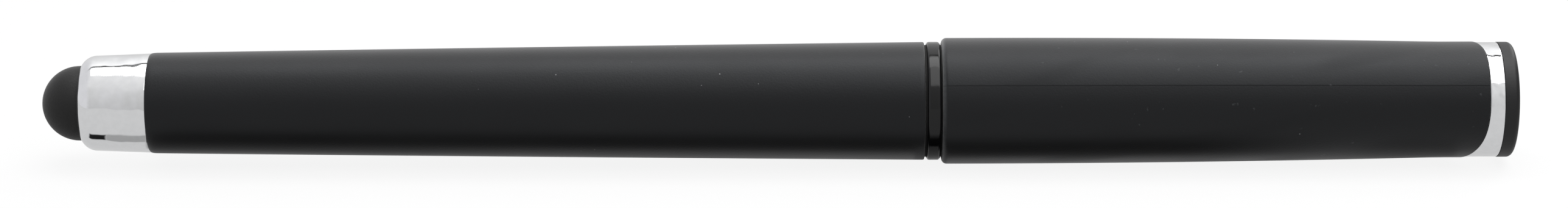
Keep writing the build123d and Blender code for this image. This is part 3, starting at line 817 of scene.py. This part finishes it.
class PEN_OT_grip_section(bpy.types.Operator):
    """Make the grip section, its screw thread and the nose cone"""

    bl_idname = "pen.grip_section"
    bl_label = "Grip Section"

    def execute(self, context):
        size = sizes()
        start, end, bead = reach("grip_section")
        ring_end = reach("centre_ring")[1]
        nose_start, nose_end, nose_wide = reach("nose_cone")
        bead_height, shank_drop, grip_rise, wall, socket_step = mm(0.06, 0.7, 0.35, 1.0, 0.4)
        grip_lead, thread_run, grip_fall, belly = mm(0.35, 7.2, 0.5, 0.05)
        collar = bead - bead_height
        shank = collar - shank_drop
        grip = shank + grip_rise
        bore = shank - wall
        socket = bore + socket_step
        collar_end = ring_end + size.collar_length
        grip_start = collar_end + grip_lead
        core = shank - size.thread_depth
        relief = start + thread_run

        def grip_side(share):
            return grip - grip_fall * share + 4 * belly * share * (1 - share)

        corners = [(start, bore, 0), (start, core, 0.1 * MM), (relief, core, 0)]
        corners += [(relief + 0.25 * MM, shank, 0), (ring_end, shank, 0)]
        corners += [(ring_end, collar, 0.15 * MM), (collar_end, collar, 0)]
        outline = softened(corners)[:-1]
        run = collar_end - ring_end
        outline += [
            (ring_end + run * k / 16, collar + bead_height * sin(pi * k / 16)) for k in range(2, 16)
        ]
        shoulder = [(collar_end, collar, 0.2 * MM), (grip_start, grip, 0.25 * MM)]
        outline += softened([(ring_end, collar, 0), *shoulder, (end, grip, 0)])[1:-1]
        grip_run = end - grip_start
        outline += [(grip_start + grip_run * k / 24, grip_side(k / 24)) for k in range(1, 24)]
        outline += beside(end, grip_side(1), (-0.1, 0.002), (-0.02, -0.01), (0, -0.06))
        outline += [(end, socket), (nose_start, socket), (nose_start, bore)]
        body = turned("grip_section_moulded", lambda a: outline)
        plastic = moulded_finish("section_plastic", finishes().gloss, 0.22)
        fit(body, "section", "grip_section", plastic)

        turns = 8
        ridge, thread_lead = mm(0.36, 0.6)
        thread = grown(
            "section_thread",
            coil_tree(),
            COIL_CREASE,
            start=start + thread_lead,
            length=turns * size.thread_pitch,
            turns=float(turns),
            radius=shank - ridge,
            bar=ridge,
            bar_sides=4,
            finish=plastic,
        )
        fit(thread, "section", None, plastic)

        tip, seat = nose_end - 0.25 * MM, end + 4.1 * MM
        hole, throat = mm(1.3, 2.35)
        spigot = socket - FIT
        corners = [(end, nose_wide, 0.06 * MM), (tip, hole + 0.55 * MM, 0.3 * MM)]
        corners += [(nose_end, hole + 0.4 * MM, 0.12 * MM), (nose_end, hole, 0.08 * MM), (seat, hole, 0)]
        corners += [(seat, throat, 0), (nose_start, throat, 0), (nose_start, spigot, 0), (end, spigot, 0)]
        nose = softened(corners)
        cone = turned("nose_cone_plated", lambda a: nose)
        fit(cone, "section", "nose_cone", plating_finish("nose_plating", 0.03))
        return {"FINISHED"}


class PEN_OT_centre_ring(bpy.types.Operator):
    """Make the gloss ring between barrel and cap"""

    bl_idname = "pen.centre_ring"
    bl_label = "Centre Ring"

    def execute(self, context):
        size = sizes()
        start, end, wide = reach("centre_ring")
        groove, wall = mm(0.17, 1.1)
        first = start + groove
        last = first + size.ring_width
        hub = wide - size.groove_depth
        bore = hub - wall
        edge = size.ring_edge
        corners = [(start, bore, 0), (start, hub, 0), (first, hub, 0), (first, wide, edge)]
        corners += [(last, wide, edge), (last, hub, 0), (end, hub, 0), (end, bore, 0)]
        outline = softened(corners, 7)
        ring = turned("centre_ring_gloss", lambda a: outline)
        fit(ring, "section", "centre_ring", ring_finish(wide))
        return {"FINISHED"}


def plug_face():
    """Station of the end plug's inner face."""
    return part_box("clip")[1].x + PLUG_GAP


def crown_radius():
    """Radius of the crown, a step down from the cap's end."""
    size = sizes()
    return reach("cap_sleeve")[2] - size.cap_taper - size.crown_setback


def crown_width(height, radius):
    """Width of the crown at a height towards the clip: a smooth sweep from front to back."""
    size = sizes()
    level, slopes = 0.9, (0.1, 0.427, 0.45)
    low = -level * radius
    if height <= low:
        return size.crown_front
    widths = (size.crown_front, size.crown_side, size.crown_back)
    start, run, k = (low, -low, 0) if height < 0 else (0, radius, 1)
    t = min((height - start) / run, 1)
    rise = (1 - t) ** 2
    return (
        (1 + 2 * t) * rise * widths[k]
        + t * rise * run * slopes[k]
        + t * t * (3 - 2 * t) * widths[k + 1]
        + t * t * (t - 1) * run * slopes[k + 1]
    )


def cap_skin():
    """The cap's radius by station: straight from the mouth, then narrowing to the crown."""
    size = sizes()
    mouth, _, wide = reach("cap_sleeve")
    straight = mouth + size.cap_straight
    crown_lead = 0.6 * MM
    narrowed = plug_face() - size.crown_back - crown_lead

    def radius(x):
        share = min(max((x - straight) / (narrowed - straight), 0), 1)
        return wide - size.cap_taper * share**2

    return radius


class PEN_OT_cap(bpy.types.Operator):
    """Make the cap's coated sleeve, cut to the crown's sweep"""

    bl_idname = "pen.cap"
    bl_label = "Cap Sleeve"

    def execute(self, context):
        size = sizes()
        mouth, neck_stop, wide = reach("cap_sleeve")
        liner, liner_end, liner_wide = reach("inner_cap")
        neck_step, neck_wall, wall = mm(0.52, 0.72, 0.975)
        plug = plug_face()
        outside = cap_skin()
        crown = crown_radius()
        neck = crown - neck_step
        neck_bore = neck - neck_wall
        bore = wide - wall
        straight = mouth + size.cap_straight
        edge = size.cap_mouth_edge
        clip_angle = -size.clip_dip
        inner, inner_end = liner_wide + FIT, liner_end + PLUG_GAP

        rim = arc((mouth + edge, wide - edge), edge, 180, 90, 9)
        hidden = [(neck_stop, neck), (neck_stop, neck_bore), (inner_end, neck_bore)]
        hidden += [(inner_end, inner), (liner, inner), (liner, bore)]
        hidden += beside(mouth, bore, (0.25, 0), (0.06, 0.08), (0, 0.22))

        def eased(share):
            share = min(max(share, 0), 1)
            return share * share * (3 - 2 * share)

        # The parting line is a fine step and a slope beside it, which fade out round the cap
        slope, slope_width = 0.7, 12 * size.parting_width
        fade_start, fade = mm(0.6, 6)

        def outline_at(angle):
            past = ((angle - clip_angle + pi / 2) % pi - pi / 2) * wide
            sunk = eased(past / size.parting_width) + slope * eased(past / slope_width)
            sunk *= size.parting_depth * (1 - eased((past - fade_start) / fade))
            cut = plug - crown_width(crown * cos(angle - clip_angle), crown)
            stations = [straight] + spaced(straight, cut, 30) + [cut - 0.12 * MM]
            skin = rim + [(mouth + edge + 0.15 * MM, wide)] + [(x, outside(x)) for x in stations]
            skin += beside(cut, outside(cut), (-0.05, 0), (-0.015, -0.012), (0, -0.045))
            return [(x, r - sunk) for x, r in skin] + [(cut, neck)] + hidden

        # Columns near a parting line, in radians before and after it, make way for closer ones
        before, after = -0.07, 0.12
        steps = [2 * pi * k / SIDES for k in range(SIDES)]
        near = [d / wide for d in mm(-0.3, -0.06, 0, 0.015, 0.035, 0.05, 0.11, 0.2, 0.3, 0.45, 0.6)]
        seams = [clip_angle + side for side in (0, pi)]
        angles = [a for a in steps if all(not before < (a - s + pi) % (2 * pi) - pi < after for s in seams)]
        angles = sorted(a % (2 * pi) for a in angles + [s + n for s in seams for n in near])
        sleeve = turned("cap_sleeve_coated", outline_at, angles)
        fit(sleeve, "cap", "cap_sleeve", coat_finish("cap_coat", mouth))
        return {"FINISHED"}


class PEN_OT_crown_clip(bpy.types.Operator):
    """Make the crown and the pocket clip, one plated piece"""

    bl_idname = "pen.crown_clip"
    bl_label = "Crown and Clip"

    def execute(self, context):
        size = sizes()
        low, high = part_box("clip")
        tip, end = low.x, high.x
        plug = plug_face()
        crown = crown_radius()
        wall, flange_depth, seam = mm(0.5, 0.74, 0.05)
        bore = crown - wall
        flange, flange_bore = plug - PLUG_SEAT, bore - flange_depth
        clip_angle = -size.clip_dip

        def outline_at(angle):
            front = plug - crown_width(crown * cos(angle - clip_angle), crown) + seam
            points = [(flange, flange_bore), (flange, bore), (front, bore)]
            points += beside(front, crown, (0, -0.07), (0.02, -0.02), (0.07, 0))
            run = end - front - 0.22 * MM
            points += [(front + 0.12 * MM + run * k / 8, crown) for k in range(9)]
            points += beside(end, crown, (-0.05, 0), (-0.015, -0.015), (0, -0.05))
            return points + [(end, flange_bore)]

        ring = turned("clip_plated", outline_at)
        shape = bmesh.new()
        shape.from_mesh(ring.data)
        self.arm(shape, tip, plug, crown, bore)
        bpy.data.objects.remove(ring)
        clip = finished("clip_plated", shape)
        fit(clip, "cap", "clip", plating_finish("clip_plating", 0.12, 0.7))
        return {"FINISHED"}

    def arm(self, shape, tip, plug, crown, bore):
        """The sprung arm: a rounded bar along the clip's side view."""
        size = sizes()
        stand_off, root_length, tip_length, sunk, rest_gap = mm(3.05, 4.6, 3.6, 0.4, 0.1)
        corner_steps, run_steps, bend_steps = 16, 24, 14
        thick = size.clip_thickness
        top = crown + stand_off
        inner = top - thick
        heel = plug - PLUG_SEAT
        shoulder = top - bore
        throat = inner - crown
        root = plug - root_length
        bend = tip + tip_length
        touch = cap_skin()(tip + tip_length / 2) + rest_gap
        end_height = (touch + thick / 2 + inner) / 2
        fall = top - end_height
        sweep = tip_length**2 / (2 * fall) + fall / 2
        turn = asin(tip_length / sweep) * 180 / pi

        outer = [(heel, bore - sunk)]
        outer += arc((heel - shoulder, bore), shoulder, 0, 90, corner_steps)
        outer += [(x, top) for x in spaced(heel - shoulder, bend, run_steps)]
        outer += arc((bend, top - sweep), sweep, 90, 90 + turn, bend_steps)
        under = [(root, bore - sunk)]
        under += arc((root - throat, crown), throat, 0, 90, corner_steps)
        under += [(x, inner) for x in spaced(root - throat, bend, run_steps)]
        for k in range(bend_steps + 1):
            t = k / bend_steps
            sag = (1 - (2 * t - 1) ** 2) * ((inner + end_height) / 2 - touch)
            under.append((bend + (tip - bend) * t, inner + (end_height - inner) * t - sag))

        out = Vector((0, cos(size.clip_dip), -sin(size.clip_dip)))
        across = Vector((0, sin(size.clip_dip), cos(size.clip_dip)))
        half_root, half_tip = size.clip_width / 2, size.clip_tip_width / 2
        sides, squareness, crowning, deepest = 40, 0.35, 1.5 * MM, 0.6
        loops = []
        for high, low in zip(outer[:-1], under[:-1]):
            x = (high[0] + low[0]) / 2
            run = (x - tip - half_tip) / (root - throat - tip - half_tip)
            half = half_tip + (half_root - half_tip) * min(max(run, 0), 1)
            if x < tip + half_tip:
                half = sqrt(max(half_tip**2 - (tip + half_tip - x) ** 2, 1e-10))
            thickness = hypot(high[0] - low[0], high[1] - low[1])
            rise = min(max((high[1] - (top - crowning)) / crowning, 0), 1)
            loop = []
            for k in range(sides):
                a = 2 * pi * (k + 0.5) / sides
                side = half * abs(cos(a)) ** squareness * (1 if cos(a) > 0 else -1)
                lift = 0.5 + 0.5 * abs(sin(a)) ** squareness * (1 if sin(a) > 0 else -1)
                crowned = size.clip_crown - sqrt(size.clip_crown**2 - side**2)
                drop = min(crowned * rise, deepest * thickness) * lift / thickness
                px = low[0] + (high[0] - low[0]) * (lift - drop)
                ph = low[1] + (high[1] - low[1]) * (lift - drop)
                loop.append(shape.verts.new(Vector((px, 0, 0)) + out * ph + across * side))
            loops.append(loop)
        for one, two in zip(loops, loops[1:]):
            for k in range(sides):
                n = (k + 1) % sides
                shape.faces.new((one[k], one[n], two[n], two[k]))
        shape.faces.new(loops[0])
        end = shape.verts.new(Vector((tip, 0, 0)) + out * end_height)
        for k in range(sides):
            shape.faces.new((loops[-1][k], loops[-1][(k + 1) % sides], end))


class PEN_OT_end_plug(bpy.types.Operator):
    """Make the plug that closes the cap"""

    bl_idname = "pen.end_plug"
    bl_label = "End Plug"

    def execute(self, context):
        size = sizes()
        stem_start, end, wide = reach("cap_end_plug")
        face = plug_face()
        stem = wide - 1.29 * MM
        corners = [(stem_start, stem, 0.2 * MM), (face, stem, 0), (face, wide, 0.05 * MM)]
        corners += [(end, wide, size.plug_edge), (end, 0, 0)]
        outline = [(stem_start, 0)] + softened(corners, 8)
        plug = turned("cap_end_plug_satin", lambda a: outline)
        finish = moulded_finish("plug_satin", finishes().plug, 0.46, 1.42, 0.01)
        fit(plug, "cap", "cap_end_plug", finish)
        return {"FINISHED"}


class PEN_OT_stage(bpy.types.Operator):
    """Set the floor, the light tent, the softboxes and the camera"""

    bl_idname = "pen.stage"
    bl_label = "Studio"

    def execute(self, context):
        studio = context.scene.pen_studio
        context.scene.view_settings.view_transform = "Standard"
        self.floor(studio)
        self.tent(studio)
        for name, stations, angles in SOFTBOXES:
            self.softbox(name, getattr(studio, name), stations, angles)
        self.camera(context, studio)
        return {"FINISHED"}

    def softbox(self, name, power, stations, angles):
        """A softbox that faces the pen, between two stations and two elevations."""
        low, high = (radians(angle) for angle in angles)
        lamp = bpy.data.lights.new(name, "AREA")
        lamp.shape = "RECTANGLE"
        lamp.size = stations[1] - stations[0]
        lamp.size_y = 2 * SOFTBOX_DISTANCE * tan((high - low) / 2)
        lamp.energy = power
        way = Vector((0, -cos((low + high) / 2), sin((low + high) / 2)))
        place = Vector((sum(stations) / 2, 0, 0)) + way * SOFTBOX_DISTANCE
        turn = way.to_track_quat("Z", "Y").to_matrix().to_4x4()
        placed(name, lamp).matrix_world = Matrix.Translation(place) @ turn

    def floor(self, studio):
        """A pale floor with dark strips of painted shadow, which only the pen's own reflections show."""
        level, half = cad_low.z, 3.0
        mesh = bpy.data.meshes.new("floor")
        corners = [(-half, -half, level), (half, -half, level), (half, half, level), (-half, half, level)]
        mesh.from_pydata(corners, [], [(0, 1, 2, 3)])
        made = Finish("floor_paper", Roughness=0.9, Specular_IOR_Level=0.1)
        seen = made.add("ShaderNodeLightPath").outputs
        straight = made.sum("MAXIMUM", seen["Is Camera Ray"], seen["Is Transmission Ray"])
        # Painted shadow: the strips darken the floor as the pen mirrors it, and take its mirrored glow away
        # there
        shadow = 0
        for strength, *edges in PAINTED_SHADOW_STRIPS:
            strip = made.sum("MULTIPLY", self.strip(made, edges), strength)
            shadow = made.sum("MAXIMUM", shadow, strip)
        lit = made.sum("SUBTRACT", 1, shadow)
        mirrored = made.blend(lit, full(studio.shade), full(studio.bounce))
        other = made.blend(straight, full(studio.bounce), full(studio.floor))
        paper = made.blend(seen["Is Glossy Ray"], other, mirrored)
        made.feed(made.shader.inputs["Base Color"], paper)
        shown = made.sum(
            "MAXIMUM",
            made.sum("MULTIPLY", straight, studio.glow),
            made.sum("MULTIPLY", made.sum("MULTIPLY", seen["Is Glossy Ray"], lit), studio.mirrored),
        )
        white = made.add("ShaderNodeEmission", Strength=1.0)
        mixed = made.add("ShaderNodeMixShader", Fac=shown)
        made.feed(mixed.inputs[1], made.shader.outputs["BSDF"])
        made.feed(mixed.inputs[2], white.outputs["Emission"])
        made.feed(made.output.inputs["Surface"], mixed.outputs["Shader"])
        mesh.materials.append(made.material)
        floor = placed("floor", mesh)

    def strip(self, made, edges):
        """A strip of painted shadow on the floor, by its four soft edges."""
        place = made.add("ShaderNodeSeparateXYZ", Vector=made.place).outputs
        mask = 1
        for axis, (clear, dark) in zip("XXYY", edges):
            mask = made.sum("MULTIPLY", mask, made.between(place[axis], clear, dark))
        return mask

    def tent(self, studio):
        """Light tent: its tones round the pen, changed towards both ends and by a card before the cap."""
        world = bpy.data.worlds.new("light_tent")
        bpy.context.scene.world = world
        world.use_nodes = True
        made = Wiring(world.node_tree)
        sky = made.add("ShaderNodeTexCoord").outputs["Generated"]
        way = made.add("ShaderNodeSeparateXYZ", Vector=sky).outputs
        angle = made.sum("ARCTAN2", way["Z"], made.sum("MULTIPLY", way["Y"], -1))
        ramp = made.add("ShaderNodeValToRGB", Fac=made.sum("DIVIDE", angle, pi))
        elements = ramp.color_ramp.elements
        while len(elements) < len(TENT):
            elements.new(0.5)
        for element, (degrees, tone) in zip(elements, TENT):
            element.position = degrees / 180
            element.color = (tone, tone, tone, 1)
        near = made.between(way["X"], *DOME_END, 0, 1, "LINEAR")
        far = made.between(way["X"], *CAP_END, 1, CAP_END_TONE, "LINEAR")
        low = made.between(angle, *map(radians, CARD_ELEVATIONS), CARD_GAIN, 0)
        card = made.sum("MULTIPLY", made.between(way["X"], *CARD_SLOPES), low)
        far = made.sum("MULTIPLY", far, made.sum("ADD", card, 1))
        colour = made.blend(near, ramp.outputs["Color"], full(studio.backdrop))
        light = made.add("ShaderNodeBackground", Color=colour, Strength=far)
        made.add("ShaderNodeOutputWorld", Surface=light.outputs["Background"])

    def camera(self, context, studio):
        """The camera, before the pen and a little above it."""
        middle = Vector((studio.aim, 0, 0))
        lens = bpy.data.cameras.new("camera")
        lens.sensor_width = 36
        lens.lens = studio.lens
        lens.clip_start = 0.01
        lens.clip_end = 20
        camera = placed("camera", lens)
        ahead = Vector((0, cos(studio.elevation), -sin(studio.elevation)))
        up = Vector((0, sin(studio.elevation), cos(studio.elevation)))
        turn = ahead.to_track_quat("-Z", "Y").to_matrix().to_4x4() @ Matrix.Rotation(studio.roll, 4, "Z")
        camera.matrix_world = Matrix.Translation(middle - up * studio.drop - ahead * studio.distance) @ turn
        context.scene.camera = camera


STEPS = (
    PEN_OT_stylus_end,
    PEN_OT_barrel,
    PEN_OT_refill,
    PEN_OT_grip_section,
    PEN_OT_centre_ring,
    PEN_OT_cap,
    PEN_OT_crown_clip,
    PEN_OT_end_plug,
    PEN_OT_stage,
)


class PEN_PT_sidebar(bpy.types.Panel):
    """The pen's pieces and studio, in the order they are made"""

    bl_idname = "PEN_PT_sidebar"
    bl_label = "Stylus Pen"
    bl_space_type = "VIEW_3D"
    bl_region_type = "UI"
    bl_category = "Stylus Pen"

    def draw(self, context):
        for step in STEPS:
            self.layout.operator(step.bl_idname)
        for group in (getattr(context.scene, key) for key in GROUPS):
            box = self.layout.box()
            for name in group.bl_rna.properties.keys():
                if name not in ("rna_type", "name"):
                    box.prop(group, name)


CLASSES = (*GROUPS.values(), *STEPS, PEN_PT_sidebar)


def register():
    for kind in CLASSES:
        bpy.utils.register_class(kind)
    for key, kind in GROUPS.items():
        setattr(bpy.types.Scene, key, PointerProperty(type=kind))


def unregister():
    for key in GROUPS:
        delattr(bpy.types.Scene, key)
    for kind in reversed(CLASSES):
        bpy.utils.unregister_class(kind)


def main():
    register()
    for step in STEPS:
        group, name = step.bl_idname.split(".")
        getattr(getattr(bpy.ops, group), name)()


if __name__ == "__main__":
    main()
